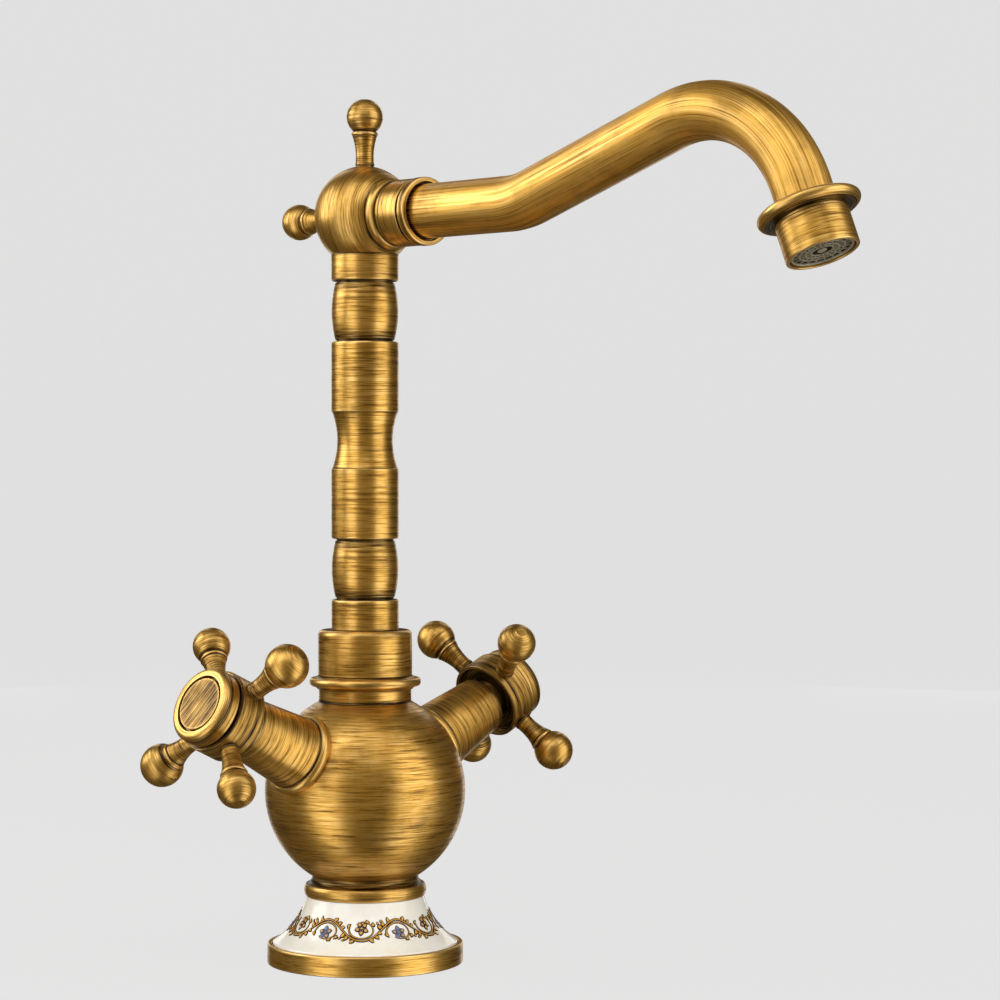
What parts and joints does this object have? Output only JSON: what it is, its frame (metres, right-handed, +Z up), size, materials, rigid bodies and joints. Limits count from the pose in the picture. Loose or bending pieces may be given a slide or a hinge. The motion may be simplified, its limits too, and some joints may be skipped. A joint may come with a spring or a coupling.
{
  "type": "bathroom mixer faucet",
  "caption": "Deck-mounted two-handle basin mixer: ball body on a glazed ceramic foot, turned column with a tall swivel spout, and a cross handle on each valve.",
  "frame": {"origin": "centre of the underside, on the deck, at the mouth of the stud hole", "axes": "+Z up along the column; the spout points along -Y at rest; the hot handle is on -X and the cold handle on +X"},
  "size_m": [0.1633, 0.261, 0.3078],
  "materials": {
    "antique_brass": "antique, brushed and lacquered",
    "plain_brass": "machined",
    "glazed_foot": "cream glaze with a gilt scroll band",
    "valve_ceramic": "lapped",
    "black_rubber": "matt",
    "acetal": "moulded",
    "aerator_steel": "dull",
    "screw_steel": "plated"
  },
  "bodies": {
    "body": {"base_ring": "antique_brass", "base_gasket": "black_rubber", "ceramic_base": "glazed_foot", "foot_collar": "antique_brass", "inlet_block": "plain_brass", "body_ball": "antique_brass", "neck_ring": "antique_brass", "swivel_nut": "antique_brass", "swivel_bush": "acetal", "hot_valve_sleeve": "antique_brass", "hot_cartridge": "plain_brass", "hot_fixed_disc": "valve_ceramic", "hot_seat_seal": "black_rubber", "cold_valve_sleeve": "antique_brass", "cold_cartridge": "plain_brass", "cold_fixed_disc": "valve_ceramic", "cold_seat_seal": "black_rubber"},
    "spout": {"column_foot": "antique_brass", "lower_oring": "black_rubber", "upper_oring": "black_rubber", "column_pipe": "plain_brass", "lower_barrel": "antique_brass", "column_shaft": "antique_brass", "upper_barrel": "antique_brass", "column_collar": "antique_brass", "head_ball": "antique_brass", "top_finial": "antique_brass", "back_finial": "antique_brass", "union_bead": "antique_brass", "union_nut": "antique_brass", "tube_ferrule": "antique_brass", "spout_oring": "black_rubber", "spout_tube": "antique_brass", "outlet_flange": "antique_brass", "aerator_shell": "antique_brass", "aerator_gasket": "black_rubber", "aerator_insert": "aerator_steel"},
    "hot_handle": {"hot_hub": "antique_brass", "hot_bezel": "antique_brass", "hot_button": "antique_brass", "hot_screw": "screw_steel", "hot_arm_1": "antique_brass", "hot_arm_2": "antique_brass", "hot_arm_3": "antique_brass", "hot_arm_4": "antique_brass", "hot_spindle": "plain_brass", "hot_moving_disc": "valve_ceramic", "hot_spindle_oring": "black_rubber"},
    "cold_handle": {"cold_hub": "antique_brass", "cold_bezel": "antique_brass", "cold_button": "antique_brass", "cold_screw": "screw_steel", "cold_arm_1": "antique_brass", "cold_arm_2": "antique_brass", "cold_arm_3": "antique_brass", "cold_arm_4": "antique_brass", "cold_spindle": "plain_brass", "cold_moving_disc": "valve_ceramic", "cold_spindle_oring": "black_rubber"}
  },
  "joints": [
    {"name": "spout_swivel", "type": "hinge", "parent": "body", "child": "spout", "pos_m": [0, 0, 0.12], "axis": [0, 0, 1], "continuous": true},
    {"name": "hot_handle_turn", "type": "hinge", "parent": "body", "child": "hot_handle", "pos_m": [-0.06507, 0, 0.09181], "axis": [-0.9063, 0, 0.4226], "range_deg": [0, 90]},
    {"name": "cold_handle_turn", "type": "hinge", "parent": "body", "child": "cold_handle", "pos_m": [0.06507, 0, 0.09181], "axis": [0.9063, 0, 0.4226], "range_deg": [-90, 0]}
  ]
}
